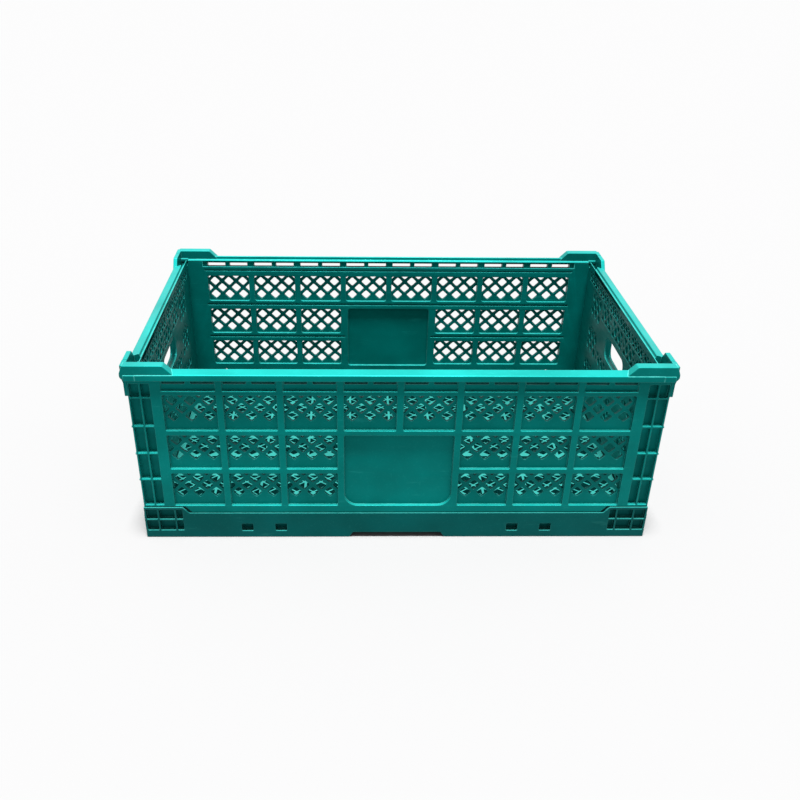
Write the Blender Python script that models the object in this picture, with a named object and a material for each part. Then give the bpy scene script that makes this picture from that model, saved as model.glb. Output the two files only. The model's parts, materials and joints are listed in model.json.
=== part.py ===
"""Collapsible vented storage crate, 600 x 400 x 220 mm.

A tray, two long walls with corner posts and stacking lugs, and two end walls with hand holes.
Each wall turns on a steel rod held in the tray. The end walls fold in first and lie on the
floor, then the long walls fold in over them. Metres, +Z up, origin under the crate's middle.
"""
from math import cos, pi, sin

import bmesh
import bpy
from mathutils import Matrix

MM = 0.001

# ---- Overall size ----
LENGTH = 600 * MM
DEPTH = 400 * MM
HEIGHT = 220 * MM
RIM_TOP = 209.5 * MM
RIM_CREST = 212.5 * MM
CLEAR = 0.4 * MM
OVER = 1.0 * MM

# ---- Hinge lines ----
ROD_RADIUS = 2.0 * MM
BORE_RADIUS = 2.35 * MM
ROD_SIDES = 16
LONG_AXIS_Y = -190.5 * MM
LONG_AXIS_Z = 37.0 * MM
LONG_ROD_HALF = 236 * MM
LONG_EARS = (-200 * MM, -70 * MM, 70 * MM, 200 * MM)
END_AXIS_X = 289.0 * MM
END_AXIS_Z = 18.0 * MM
END_ROD_HALF = 146 * MM
END_EARS = (-100 * MM, 0.0, 100 * MM)
EAR_WIDTH = 12 * MM
EAR_RADIUS = 3.9 * MM
EAR_SLOT = 6.3 * MM
EAR_SLOT_DROP = 6 * MM
EAR_STEPS = 8
LONG_EAR_ROOT = 5 * MM
END_EAR_ROOT = 2 * MM
EAR_GUSSET_DROP = 2.9 * MM

# ---- Tray ----
TRAY_HALF_X = 295.5 * MM
TRAY_HALF_Y = 198 * MM
FLOOR_TOP = 12 * MM
FLOOR_SKIN = 3 * MM
TRAY_RIM_TOP = 33.5 * MM
TRAY_BED_TOP = 30 * MM
TRAY_SKIN = 1.3 * MM
TRAY_SKIN_BOTTOM = 2 * MM
TRAY_BLOCK_TOP = 41 * MM
TRAY_BLOCK_BOTTOM = 3 * MM
TRAY_BLOCK_INNER = 250 * MM
TRAY_BLOCK_SLOPE = 7 * MM
TRAY_BLOCK_BACK = 190.7 * MM
TRAY_BED_INNER = 184.6 * MM
TRAY_SILL_TOP = 31 * MM
SILL_NOTCH_HALF = 26 * MM
SILL_NOTCH_BOTTOM = 27 * MM
END_SILL_INNER = 293.3 * MM
SLOT_CENTRES = (136.5 * MM, 176 * MM)
SLOT_WIDTH = 13.5 * MM
SLOT_BOTTOM = 8.5 * MM
SLOT_TOP = 18.5 * MM
SLOT_DEPTH = 8 * MM
ARCH_HALF = 56 * MM
ARCH_SLOPE = 4 * MM
ARCH_HEIGHT = 6.3 * MM
ARCH_DEPTH = 10 * MM
CORNER_CELLS_X = ((250.5 * MM, 258 * MM), (260 * MM, 278 * MM), (280 * MM, 293 * MM))
CORNER_CELLS_Z = ((10 * MM, 23 * MM), (25 * MM, 38 * MM))
CORNER_CELL_DEPTH = 5 * MM
TRAY_POCKETS_X = 10
TRAY_POCKETS_Y = 7
POCKET_WEB = 4 * MM
POCKET_AREA_X = 272 * MM
POCKET_AREA_Y = 176 * MM

# ---- Long walls ----
LONG_OUTER = -196.4 * MM
LONG_INNER = -185 * MM
LONG_HALF = 294.2 * MM
LONG_BOTTOM = 33.8 * MM
LONG_CORNER_BOTTOM = TRAY_BLOCK_TOP + CLEAR
LONG_CORNER_STEP = 3.5 * MM
WEB_FRONT = -191 * MM
WEB_BACK = -189.4 * MM
COLUMNS = 8
COLUMN_PITCH = 65.5 * MM
BAR = 7.5 * MM
FIRST_LEDGE = 42.9 * MM
ROW_PITCH = 49.1 * MM
ROWS = 3
ROW_BAR = 6 * MM
BORDER = 7.5 * MM
WINDOW_HEIGHT = 36.6 * MM
LABEL_COLUMNS = (3, 4)
LABEL_ROWS = (0, 1)
LABEL_RADIUS = 15 * MM
LABEL_STEPS = 4
POST_RIBS = (43.8 * MM, 78.8 * MM, 112.8 * MM, 147.0 * MM, 182.3 * MM)
POST_TOP = 200 * MM
POST_RIB = 2 * MM
POST_CELLS = ((270.5 * MM, 280 * MM), (282 * MM, 292.5 * MM))
POST_DEPTH = 7 * MM
HEAD_BOTTOM = 183 * MM
HEAD_HALF = 297.5 * MM
HEAD_INNER = 290.2 * MM
RIM_BOTTOM = 202 * MM
RIM_OUTER = -DEPTH / 2
RIM_CREST_Y = -189 * MM
RIM_NOTCH = 284.4 * MM
RIM_HALF = 296 * MM
LUG_DEPTH = 12 * MM
LUG_INNER = 246 * MM
LUG_SLOPE = 8 * MM
LUG_DRAFT = 2.5 * MM
LUG_ROOT = 2 * MM
LUG_SIDE_SET = 2 * MM
LUG_SIDE_INNER = 293.5 * MM
LUG_SIDE_OUTER = 299 * MM
LUG_SIDE_TOP = HEIGHT - 0.5 * MM
LUG_STUB_END = -181.2 * MM
LUG_FOOT = 204 * MM
POCKET_BOTTOM = 197 * MM

# ---- End walls ----
END_INNER = 285 * MM
END_PLATE = 288 * MM
END_OUTER = 294 * MM
END_BAND_OUTER = 296.5 * MM
END_BAND_BOTTOM = 188 * MM
END_RIM_OUTER = 298 * MM
END_CREST_X = 288 * MM
END_HALF = 184 * MM
END_TOP_HALF = 180 * MM
END_SHOULDER = 201.3 * MM
END_RIM_HALF = 150 * MM
END_BOTTOM = 31.7 * MM
END_RIM_BOTTOM = 202 * MM
LEG_HALF = 144 * MM
END_COLUMNS = 5
END_COLUMN_PITCH = 57 * MM
END_WEB = 290 * MM
END_WEB_BACK = 288.4 * MM
HAND_HALF = 45 * MM
HAND_BOTTOM = 126 * MM
HAND_TOP = 156 * MM
HAND_RADIUS = 13 * MM
HAND_FRAME = 8 * MM


def clear_scene():
    for item in list(bpy.data.objects):
        bpy.data.objects.remove(item, do_unlink=True)


def make_material(name, colour, roughness, metallic=0.0):
    material = bpy.data.materials.new(name)
    material.use_nodes = True
    shader = material.node_tree.nodes["Principled BSDF"]
    shader.inputs["Base Color"].default_value = (*colour, 1.0)
    shader.inputs["Roughness"].default_value = roughness
    shader.inputs["Metallic"].default_value = metallic
    return material


# ---- Shapes: each one returns a bmesh ----

def prism(outline, axis, start, end):
    """Extrude an outline along an axis. The outline holds the two other coordinates in order."""
    shape = bmesh.new()
    rings = []
    for along in (start, end):
        ring = []
        for first, second in outline:
            point = {"x": (along, first, second), "y": (first, along, second),
                     "z": (first, second, along)}[axis]
            ring.append(shape.verts.new(point))
        rings.append(ring)
    shape.faces.new(rings[0])
    shape.faces.new(rings[1])
    count = len(outline)
    for i in range(count):
        j = (i + 1) % count
        shape.faces.new((rings[0][i], rings[0][j], rings[1][j], rings[1][i]))
    bmesh.ops.recalc_face_normals(shape, faces=shape.faces)
    return shape


def box(x0, x1, y0, y1, z0, z1):
    return prism([(x0, y0), (x1, y0), (x1, y1), (x0, y1)], "z", z0, z1)


def circle(centre, radius, sides):
    return [(centre[0] + radius * cos(2 * pi * i / sides),
             centre[1] + radius * sin(2 * pi * i / sides)) for i in range(sides)]


def rounded_rectangle(u0, u1, v0, v1, radius, steps=4):
    """Outline with quarter arcs at its corners."""
    corners = (((u1 - radius, v1 - radius), 0), ((u0 + radius, v1 - radius), 1),
               ((u0 + radius, v0 + radius), 2), ((u1 - radius, v0 + radius), 3))
    points = []
    for (u, v), quarter in corners:
        for step in range(steps + 1):
            angle = (quarter + step / steps) * pi / 2
            points.append((u + radius * cos(angle), v + radius * sin(angle)))
    return points


def merge(shapes):
    """Put shapes that don't touch each other into one bmesh."""
    merged = bmesh.new()
    scratch = bpy.data.meshes.new("scratch")
    for shape in shapes:
        shape.to_mesh(scratch)
        shape.free()
        merged.from_mesh(scratch)
    bpy.data.meshes.remove(scratch)
    return merged


def both_sides(shapes_on_plus_x):
    """Call a maker for side +1 and side -1 and return what it makes for both."""
    return [shape for side in (1, -1) for shape in shapes_on_plus_x(side)]


def span(side, inner, outer):
    """The low and high X of a range that is given on the +X side."""
    return sorted((side * inner, side * outer))


def helper(shape):
    mesh = bpy.data.meshes.new("helper")
    shape.to_mesh(mesh)
    shape.free()
    item = bpy.data.objects.new("helper", mesh)
    bpy.context.scene.collection.objects.link(item)
    return item


def combine(name, start, united=(), cut=()):
    """Unite shapes with the start shape, cut the others out of it, and return the mesh."""
    body = helper(start)
    tools = []
    for shapes, operation in ((united, "UNION"), (cut, "DIFFERENCE")):
        for shape in shapes:
            tool = helper(shape)
            tools.append(tool)
            step = body.modifiers.new(operation.lower(), "BOOLEAN")
            step.operation = operation
            step.solver = "EXACT"
            step.object = tool
    graph = bpy.context.evaluated_depsgraph_get()
    mesh = bpy.data.meshes.new_from_object(body.evaluated_get(graph))
    mesh.name = name
    for item in tools + [body]:
        bpy.data.objects.remove(item, do_unlink=True)
    return mesh


def place(name, mesh, material, origin, turn=0.0):
    """Link a mesh, made in crate coordinates, as an object whose origin is on its hinge line."""
    x, y, z = origin
    local = mesh.copy()
    local.name = name
    local.transform(Matrix.Translation((-x, -y, -z)))
    local.materials.clear()
    local.materials.append(material)
    item = bpy.data.objects.new(name, local)
    turned = Matrix.Rotation(turn, 4, "Z")
    item.matrix_world = turned @ Matrix.Translation((x, y, z))
    bpy.context.scene.collection.objects.link(item)
    return item


# ---- Tray ----

def tray_pockets():
    """Square hollows under the floor, which leave a grid of stiffening ribs."""
    pitch_x = 2 * POCKET_AREA_X / TRAY_POCKETS_X
    pitch_y = 2 * POCKET_AREA_Y / TRAY_POCKETS_Y
    pockets = []
    for i in range(TRAY_POCKETS_X):
        for j in range(TRAY_POCKETS_Y):
            x0 = -POCKET_AREA_X + i * pitch_x
            y0 = -POCKET_AREA_Y + j * pitch_y
            pockets.append(box(x0 + POCKET_WEB / 2, x0 + pitch_x - POCKET_WEB / 2,
                               y0 + POCKET_WEB / 2, y0 + pitch_y - POCKET_WEB / 2,
                               -OVER, FLOOR_TOP - FLOOR_SKIN))
    return merge(pockets)


def tray_long_side(side):
    """Rim along one long side: an outer skin, a lower bed behind it and raised corner blocks."""
    y_out = side * TRAY_HALF_Y
    y_skin = side * (TRAY_HALF_Y - TRAY_SKIN)
    y_bed = side * TRAY_BED_INNER
    y_block = side * TRAY_BLOCK_BACK
    shapes = [box(-TRAY_HALF_X, TRAY_HALF_X, min(y_out, y_bed), max(y_out, y_bed), OVER, TRAY_BED_TOP),
              box(-TRAY_BLOCK_INNER, TRAY_BLOCK_INNER, min(y_out, y_skin), max(y_out, y_skin),
                  TRAY_SKIN_BOTTOM, TRAY_RIM_TOP)]
    for end in (1, -1):
        outline = [(end * (TRAY_BLOCK_INNER - TRAY_BLOCK_SLOPE), TRAY_BLOCK_BOTTOM),
                   (end * TRAY_HALF_X, TRAY_BLOCK_BOTTOM),
                   (end * TRAY_HALF_X, TRAY_BLOCK_TOP),
                   (end * TRAY_BLOCK_INNER, TRAY_BLOCK_TOP),
                   (end * (TRAY_BLOCK_INNER - TRAY_BLOCK_SLOPE), TRAY_RIM_TOP)]
        shapes.append(prism(outline, "y", min(y_out, y_block), max(y_out, y_block)))
    for x in LONG_EARS:
        shapes.append(ear("x", (side * -LONG_AXIS_Y, LONG_AXIS_Z), x, TRAY_BED_TOP - LONG_EAR_ROOT))
    return shapes


def ear(axis_name, centre, along, foot):
    """A bearing ear: a round-topped plate that stands on the tray around a hinge rod."""
    u, v = centre
    angles = [pi * step / EAR_STEPS for step in range(EAR_STEPS + 1)]
    arc = [(u + EAR_RADIUS * cos(angle), v + EAR_RADIUS * sin(angle)) for angle in angles]
    outline = arc + [(u - EAR_RADIUS, foot), (u + EAR_RADIUS, foot)]
    return prism(outline, axis_name, along - EAR_WIDTH / 2, along + EAR_WIDTH / 2)


def tray_end_side(side):
    """Sill along one short side, with the bearing ears of the end wall behind it."""
    x0, x1 = span(side, END_SILL_INNER, TRAY_HALF_X)
    shapes = [box(x0, x1, -TRAY_HALF_Y, TRAY_HALF_Y, OVER, TRAY_SILL_TOP)]
    for y in END_EARS:
        shapes.append(ear("y", (side * END_AXIS_X, END_AXIS_Z), y, FLOOR_TOP - END_EAR_ROOT))
        w0, w1 = span(side, END_AXIS_X, END_SILL_INNER + OVER)
        shapes.append(box(w0, w1, y - EAR_WIDTH / 2 + OVER, y + EAR_WIDTH / 2 - OVER,
                          FLOOR_TOP - END_EAR_ROOT, END_AXIS_Z - EAR_GUSSET_DROP))
    return shapes


def sill_notches():
    """Low middle of each end sill, where the long walls' lugs come to lie when folded."""
    return merge([box(*span(side, END_SILL_INNER - OVER, TRAY_HALF_X + OVER), -SILL_NOTCH_HALF,
                      SILL_NOTCH_HALF, SILL_NOTCH_BOTTOM, TRAY_BLOCK_TOP) for side in (1, -1)])


def front_openings():
    """Slots and a low arch in the tray's long sides, front and back."""
    shapes = []
    for side in (1, -1):
        y0, y1 = sorted((side * (TRAY_HALF_Y - SLOT_DEPTH), side * (TRAY_HALF_Y + OVER)))
        for x in SLOT_CENTRES + tuple(-centre for centre in SLOT_CENTRES):
            shapes.append(box(x - SLOT_WIDTH / 2, x + SLOT_WIDTH / 2, y0, y1, SLOT_BOTTOM, SLOT_TOP))
        arch = [(-ARCH_HALF, -OVER), (ARCH_HALF, -OVER), (ARCH_HALF, 0.0),
                (ARCH_HALF - ARCH_SLOPE, ARCH_HEIGHT), (ARCH_SLOPE - ARCH_HALF, ARCH_HEIGHT),
                (-ARCH_HALF, 0.0)]
        shapes.append(prism(arch, "y", side * (TRAY_HALF_Y - ARCH_DEPTH), side * (TRAY_HALF_Y + OVER)))
    return merge(shapes)


def corner_cells(side):
    """Hollow cells on the outer face of the tray's corner blocks, front and back."""
    cells = []
    for face in (1, -1):
        y0, y1 = sorted((face * (TRAY_HALF_Y - CORNER_CELL_DEPTH), face * (TRAY_HALF_Y + OVER)))
        for inner, outer in CORNER_CELLS_X:
            for low, high in CORNER_CELLS_Z:
                x0, x1 = span(side, inner, outer)
                cells.append(box(x0, x1, y0, y1, low, high))
    return cells


def make_tray():
    start = box(-TRAY_HALF_X, TRAY_HALF_X, -TRAY_HALF_Y, TRAY_HALF_Y, 0.0, FLOOR_TOP)
    united = both_sides(tray_long_side) + both_sides(tray_end_side)
    bores = [prism(circle((side * -LONG_AXIS_Y, LONG_AXIS_Z), BORE_RADIUS, ROD_SIDES), "x",
                   -LONG_ROD_HALF - OVER, LONG_ROD_HALF + OVER) for side in (1, -1)]
    bores += [prism(circle((side * END_AXIS_X, END_AXIS_Z), BORE_RADIUS, ROD_SIDES), "y",
                    -END_ROD_HALF - OVER, END_ROD_HALF + OVER) for side in (1, -1)]
    cells = merge(both_sides(corner_cells))
    return combine("tray", start, united, [tray_pockets(), sill_notches(), front_openings(), cells] + bores)


# ---- Long walls, made as the front one ----

def long_wall_blocks():
    """The wall's rim, whose top falls to the outside, and its stacking lugs, all solid."""
    rim = [(RIM_OUTER, RIM_BOTTOM), (RIM_OUTER, RIM_TOP), (RIM_CREST_Y, RIM_CREST),
           (LONG_INNER, RIM_CREST), (LONG_INNER, RIM_BOTTOM)]
    low_rim = box(-RIM_HALF, RIM_HALF, RIM_OUTER, LONG_INNER, RIM_BOTTOM, RIM_TOP)
    blocks = [prism(rim, "x", -RIM_NOTCH, RIM_NOTCH), low_rim]
    for side in (1, -1):
        lug = [(side * LUG_INNER, RIM_TOP - LUG_ROOT), (side * LUG_INNER, RIM_TOP),
               (side * (LUG_INNER + LUG_SLOPE), HEIGHT),
               (side * (LENGTH / 2 - LUG_DRAFT), HEIGHT), (side * LENGTH / 2, RIM_TOP),
               (side * LENGTH / 2, RIM_TOP - LUG_ROOT)]
        blocks.append(prism(lug, "y", RIM_OUTER, RIM_OUTER + LUG_DEPTH))
        x0, x1 = span(side, LUG_SIDE_INNER, LUG_SIDE_OUTER)
        blocks.append(box(x0, x1, RIM_OUTER + LUG_SIDE_SET, LUG_STUB_END, LUG_FOOT, LUG_SIDE_TOP))
        x0, x1 = span(side, HEAD_INNER, HEAD_HALF)
        blocks.append(box(x0, x1, LONG_OUTER, LONG_INNER, HEAD_BOTTOM, RIM_BOTTOM + OVER))
    return blocks


def lug_pocket(side):
    """Hollow behind the lug, which carries on into the end wall's rim."""
    x0, x1 = span(side, END_PLATE, LUG_SIDE_INNER)
    return box(x0, x1, RIM_OUTER + LUG_DEPTH, LONG_INNER + OVER, POCKET_BOTTOM, HEIGHT)


def window_cells(y_open, y_web, first_z, height):
    """Recesses of the window grid on one face of the long wall."""
    cells = []
    for column in range(COLUMNS):
        x = (column - (COLUMNS - 1) / 2) * COLUMN_PITCH
        for row in range(ROWS):
            if column in LABEL_COLUMNS and row in LABEL_ROWS:
                continue
            z = FIRST_LEDGE + row * ROW_PITCH + first_z
            half = (COLUMN_PITCH - BAR) / 2
            cells.append(box(x - half, x + half, min(y_open, y_web), max(y_open, y_web), z, z + height))
    return cells


def label_cell(y_open, y_web):
    """The wide plain recess in the middle of the wall, with round bottom corners."""
    half = (len(LABEL_COLUMNS) * COLUMN_PITCH - BAR) / 2
    top = FIRST_LEDGE + len(LABEL_ROWS) * ROW_PITCH - ROW_BAR
    middle = FIRST_LEDGE + LABEL_RADIUS
    outline = [(half, top), (-half, top)]
    for side, first in ((-1, pi), (1, 1.5 * pi)):
        for step in range(LABEL_STEPS + 1):
            angle = first + step * pi / 2 / LABEL_STEPS
            outline.append((side * (half - LABEL_RADIUS) + LABEL_RADIUS * cos(angle),
                            middle + LABEL_RADIUS * sin(angle)))
    return prism(outline, "y", y_open, y_web)


def post_cells(side):
    """Deep cells down the outer face of a corner post."""
    cells = []
    levels = POST_RIBS + (POST_TOP,)
    for inner, outer in POST_CELLS:
        x0, x1 = span(side, inner, outer)
        for low, high in zip(levels[:-1], levels[1:]):
            cells.append(box(x0, x1, LONG_OUTER - OVER, LONG_OUTER + POST_DEPTH, low, high - POST_RIB))
    return cells


def long_wall_slots():
    """Notches in the bottom rail that the tray's bearing ears stand in."""
    return merge([box(x - EAR_WIDTH / 2 - CLEAR, x + EAR_WIDTH / 2 + CLEAR,
                      LONG_AXIS_Y - EAR_RADIUS - CLEAR, LONG_INNER + OVER,
                      LONG_BOTTOM - OVER, LONG_AXIS_Z + EAR_SLOT) for x in LONG_EARS])


def make_long_wall():
    start = box(-LONG_HALF, LONG_HALF, LONG_OUTER, LONG_INNER, LONG_BOTTOM, RIM_TOP - OVER)
    corner_gap = []
    for side in (1, -1):
        outline = [(side * (TRAY_BLOCK_INNER - TRAY_BLOCK_SLOPE - LONG_CORNER_STEP), LONG_BOTTOM - OVER),
                   (side * (LONG_HALF + OVER), LONG_BOTTOM - OVER),
                   (side * (LONG_HALF + OVER), LONG_CORNER_BOTTOM),
                   (side * (TRAY_BLOCK_INNER - LONG_CORNER_STEP), LONG_CORNER_BOTTOM),
                   (side * (TRAY_BLOCK_INNER - TRAY_BLOCK_SLOPE - LONG_CORNER_STEP), TRAY_RIM_TOP + CLEAR)]
        corner_gap.append(prism(outline, "y", LONG_OUTER - OVER, LONG_INNER + OVER))
    outer = window_cells(LONG_OUTER - OVER, WEB_FRONT, 0.0, ROW_PITCH - ROW_BAR)
    outer.append(label_cell(LONG_OUTER - OVER, WEB_FRONT))
    inner = window_cells(LONG_INNER + OVER, WEB_BACK, BORDER, WINDOW_HEIGHT)
    bore = prism(circle((LONG_AXIS_Y, LONG_AXIS_Z), BORE_RADIUS, ROD_SIDES), "x",
                 -LENGTH / 2, LENGTH / 2)
    cells = merge(both_sides(post_cells))
    pockets = merge([lug_pocket(side) for side in (1, -1)])
    cuts = [merge(corner_gap), merge(outer), merge(inner), cells, pockets, long_wall_slots(), bore]
    return combine("long_wall", start, long_wall_blocks(), cuts)


# ---- End walls, made as the right one ----

def end_wall_blocks():
    """The end wall's upper part, its rim, the sides of the lugs and the leg down to the rod."""
    radius = END_AXIS_X - END_INNER
    angles = [pi + pi * step / EAR_STEPS for step in range(EAR_STEPS + 1)]
    leg = [(END_AXIS_X + radius * cos(angle), END_AXIS_Z + radius * sin(angle)) for angle in angles]
    leg += [(END_AXIS_X + radius, END_BOTTOM + OVER), (END_INNER, END_BOTTOM + OVER)]
    rim = [(END_INNER, END_RIM_BOTTOM), (END_INNER, RIM_CREST), (END_CREST_X, RIM_CREST),
           (END_RIM_OUTER, RIM_TOP), (END_RIM_OUTER, END_RIM_BOTTOM)]
    blocks = [box(END_INNER, END_OUTER, -END_TOP_HALF, END_TOP_HALF, END_BOTTOM, RIM_TOP - OVER),
              box(END_INNER, END_BAND_OUTER, -END_TOP_HALF, END_TOP_HALF, END_BAND_BOTTOM,
                  RIM_TOP - OVER),
              prism(rim, "y", -END_RIM_HALF, END_RIM_HALF),
              prism(leg, "y", -LEG_HALF, LEG_HALF)]
    for end in (1, -1):
        lug = [(end * END_TOP_HALF, LUG_FOOT), (end * END_TOP_HALF, LUG_SIDE_TOP),
               (end * (END_RIM_HALF + LUG_SLOPE), LUG_SIDE_TOP), (end * END_RIM_HALF, RIM_TOP),
               (end * END_RIM_HALF, LUG_FOOT)]
        blocks.append(prism(lug, "x", LUG_SIDE_INNER, LUG_SIDE_OUTER))
    return blocks


def end_pockets():
    """Hollows in the rim beside the lugs, which leave a thin inner edge."""
    return merge([box(END_PLATE, LUG_SIDE_INNER, *sorted((end * (END_RIM_HALF + OVER),
                                                          end * (END_HALF + OVER))),
                      POCKET_BOTTOM, HEIGHT) for end in (1, -1)])


def end_window_cells(x_open, x_web, first_z, height):
    """Recesses of the end wall's window grid, shortened above and below the hand hole."""
    cells = []
    half = (END_COLUMN_PITCH - BAR) / 2
    frame_low = HAND_BOTTOM - HAND_FRAME
    frame_high = HAND_TOP + HAND_FRAME
    for column in range(END_COLUMNS):
        y = (column - (END_COLUMNS - 1) / 2) * END_COLUMN_PITCH
        beside_hand = abs(y) - half < HAND_HALF + HAND_FRAME
        for row in range(ROWS):
            low = FIRST_LEDGE + row * ROW_PITCH + first_z
            high = low + height
            if beside_hand and low < frame_low < high:
                high = frame_low
            if beside_hand and low < frame_high < high:
                low = frame_high
            cells.append(box(min(x_open, x_web), max(x_open, x_web), y - half, y + half, low, high))
    return cells


def make_end_wall():
    start = box(END_INNER, END_OUTER, -END_HALF, END_HALF, END_BOTTOM, END_SHOULDER)
    outer = end_window_cells(END_OUTER + OVER, END_WEB, 0.0, ROW_PITCH - ROW_BAR)
    inner = end_window_cells(END_INNER - OVER, END_WEB_BACK, BORDER, WINDOW_HEIGHT)
    hand = prism(rounded_rectangle(-HAND_HALF, HAND_HALF, HAND_BOTTOM, HAND_TOP, HAND_RADIUS), "x",
                 END_INNER - OVER, END_OUTER + OVER)
    slots = [box(END_INNER - OVER, END_SILL_INNER, y - EAR_WIDTH / 2 - CLEAR,
                 y + EAR_WIDTH / 2 + CLEAR, END_AXIS_Z - EAR_SLOT_DROP, END_AXIS_Z + EAR_SLOT)
             for y in END_EARS]
    bore = prism(circle((END_AXIS_X, END_AXIS_Z), BORE_RADIUS, ROD_SIDES), "y",
                 -END_HALF, END_HALF)
    cuts = [merge(outer), merge(inner), hand, merge(slots), end_pockets(), bore]
    return combine("end_wall", start, end_wall_blocks(), cuts)


def make_rod(axis, half, centre):
    shape = prism(circle(centre, ROD_RADIUS, ROD_SIDES), axis, -half, half)
    return combine("rod", shape)


def build():
    clear_scene()
    green = make_material("green_polypropylene", (0.0, 0.23, 0.19), 0.38)
    green_tray = make_material("green_tray_polypropylene", (0.0, 0.22, 0.18), 0.42)
    steel = make_material("zinc_plated_steel", (0.62, 0.62, 0.60), 0.35, 1.0)

    place("base_tray", make_tray(), green_tray, (0.0, 0.0, 0.0))

    long_origin = (0.0, LONG_AXIS_Y, LONG_AXIS_Z)
    long_wall = make_long_wall()
    long_rod = make_rod("x", LONG_ROD_HALF, (LONG_AXIS_Y, LONG_AXIS_Z))
    for name, turn in (("front", 0.0), ("back", pi)):
        place(name + "_long_wall", long_wall, green, long_origin, turn)
        place(name + "_hinge_rod", long_rod, steel, long_origin, turn)

    end_origin = (END_AXIS_X, 0.0, END_AXIS_Z)
    end_wall = make_end_wall()
    end_rod = make_rod("y", END_ROD_HALF, (END_AXIS_X, END_AXIS_Z))
    for name, turn in (("right", 0.0), ("left", pi)):
        place(name + "_end_wall", end_wall, green, end_origin, turn)
        place(name + "_hinge_rod", end_rod, steel, end_origin, turn)

    for mesh in (long_wall, long_rod, end_wall, end_rod):
        bpy.data.meshes.remove(mesh)


build()
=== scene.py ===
"""Finished look of the collapsible vented crate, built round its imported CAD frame.

Each wall is built flat in its own plane, in millimetres: u runs along the wall, v is the height
and w is the depth from the wall's outermost plane. A matrix then stands it in place.
"""

import json
from math import cos, pi, sin

import bmesh
import bpy
from mathutils import Matrix, Vector


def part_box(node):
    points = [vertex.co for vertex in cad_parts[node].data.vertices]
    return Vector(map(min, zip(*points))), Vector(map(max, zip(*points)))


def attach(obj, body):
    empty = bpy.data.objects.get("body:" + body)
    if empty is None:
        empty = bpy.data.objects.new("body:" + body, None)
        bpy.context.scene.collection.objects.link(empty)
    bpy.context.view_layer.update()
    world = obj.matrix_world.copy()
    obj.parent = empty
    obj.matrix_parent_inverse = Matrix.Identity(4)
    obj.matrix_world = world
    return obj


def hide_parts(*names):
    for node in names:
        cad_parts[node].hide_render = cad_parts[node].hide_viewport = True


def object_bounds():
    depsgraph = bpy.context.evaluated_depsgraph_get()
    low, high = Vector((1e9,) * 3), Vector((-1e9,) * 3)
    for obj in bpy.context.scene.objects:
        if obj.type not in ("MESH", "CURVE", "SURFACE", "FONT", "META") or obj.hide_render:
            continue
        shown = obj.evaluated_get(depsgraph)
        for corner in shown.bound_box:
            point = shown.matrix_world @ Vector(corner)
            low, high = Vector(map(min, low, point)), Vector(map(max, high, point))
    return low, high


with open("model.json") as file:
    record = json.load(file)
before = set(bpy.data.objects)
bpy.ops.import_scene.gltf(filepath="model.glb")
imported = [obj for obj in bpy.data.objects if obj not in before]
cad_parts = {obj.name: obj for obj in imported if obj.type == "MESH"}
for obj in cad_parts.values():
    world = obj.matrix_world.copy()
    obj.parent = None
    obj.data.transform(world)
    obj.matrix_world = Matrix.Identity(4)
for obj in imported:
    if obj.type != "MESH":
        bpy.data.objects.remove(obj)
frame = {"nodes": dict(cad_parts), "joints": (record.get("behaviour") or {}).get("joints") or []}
cad_low, cad_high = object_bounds()

MM = 0.001
SIDES = (1, -1)
tray_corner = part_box("base_tray")[1] / MM
hinges = {joint["name"]: Vector(joint["pos_m"]) / MM for joint in frame["joints"]}

# ---- Whole crate ----
HALF_LENGTH = cad_high.x / MM
HALF_DEPTH = cad_high.y / MM
TOP = cad_high.z / MM
LUG_TOP = TOP - 0.5
RIM_CREST = TOP - 7.5
RIM_TOP = TOP - 10.5
WALL_TOP = TOP - 16.0
RIM_FLANGE = TOP - 17.6

# ---- Hinges: places are (w, v) in the plane across a wall ----
LONG_ROD = (HALF_DEPTH + hinges["front_wall_play"].y, hinges["front_wall_play"].z)
END_ROD = (HALF_LENGTH - hinges["right_end_fold"].x, hinges["right_end_fold"].z)
LONG_EARS = (-200.0, -70.0, 70.0, 200.0)
END_EARS = (-100.0, 0.0, 100.0)
EAR_HALF = 6.0
EAR_PLAY = 0.5
EAR_RADIUS = 3.9
BORE_RADIUS = 2.35
LEG_BORE_RADIUS = 2.4

# ---- Diamond meshes: step along, step up, half width, half height, corner radius ----
LONG_MESH = (9.9, 9.5, 7.1, 6.8, 1.8)
END_MESH = (9.1, 9.5, 6.4, 6.8, 1.8)
EAVES_MESH = (6.5, 6.2, 4.9, 4.7, 1.2)
FLOOR_MESH = (8.8, 8.0, 7.3, 6.6, 1.0)
SMALLEST_OPENING = 6.0  # square millimetres

# ---- Window grid, at the same heights on all walls ----
ROWS = 3
FIRST_LEDGE = 42.9
ROW_PITCH = 49.1
BAR = 7.5
CELL_HEIGHT = 43.1
MESH_LOW = 7.5
MESH_HIGH = 44.1

# ---- Long walls: layers in w overlap, from the outer face to the inner one ----
LONG_SKIN = (3.6, 5.3)
LONG_BODY = (5.0, 8.4)
LONG_WEB = (8.0, 11.8)
LONG_RIBS = (10.4, 14.1)
LONG_INNER = (13.9, 15.0)
LONG_BACK = LONG_INNER[1]
LONG_HALF = HALF_LENGTH - 5.8
LONG_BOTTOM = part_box("front_long_wall")[0].z / MM
LONG_CORNER_BOTTOM = 41.6
CORNER_STEP = (239.5, 246.8)
LONG_WEB_HALF = 267.0
LONG_RIM_HALF = 284.3
LONG_RIM_END = (283.6, 296.0)
LUG_W = (0.6, 12.0)
LUG_TOWER = (293.5, 299.0)
LUG_TOWER_W = (3.0, 18.8)
RAIL_TOP = 42.4
RAIL_OUTER = (5.0, 7.0)
RAIL_INNER = (12.2, 14.9)
COLUMNS = 8
COLUMN_PITCH = 65.5
CELL_HALF = (COLUMN_PITCH - BAR) / 2
LABEL_HALF = 61.75
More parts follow.
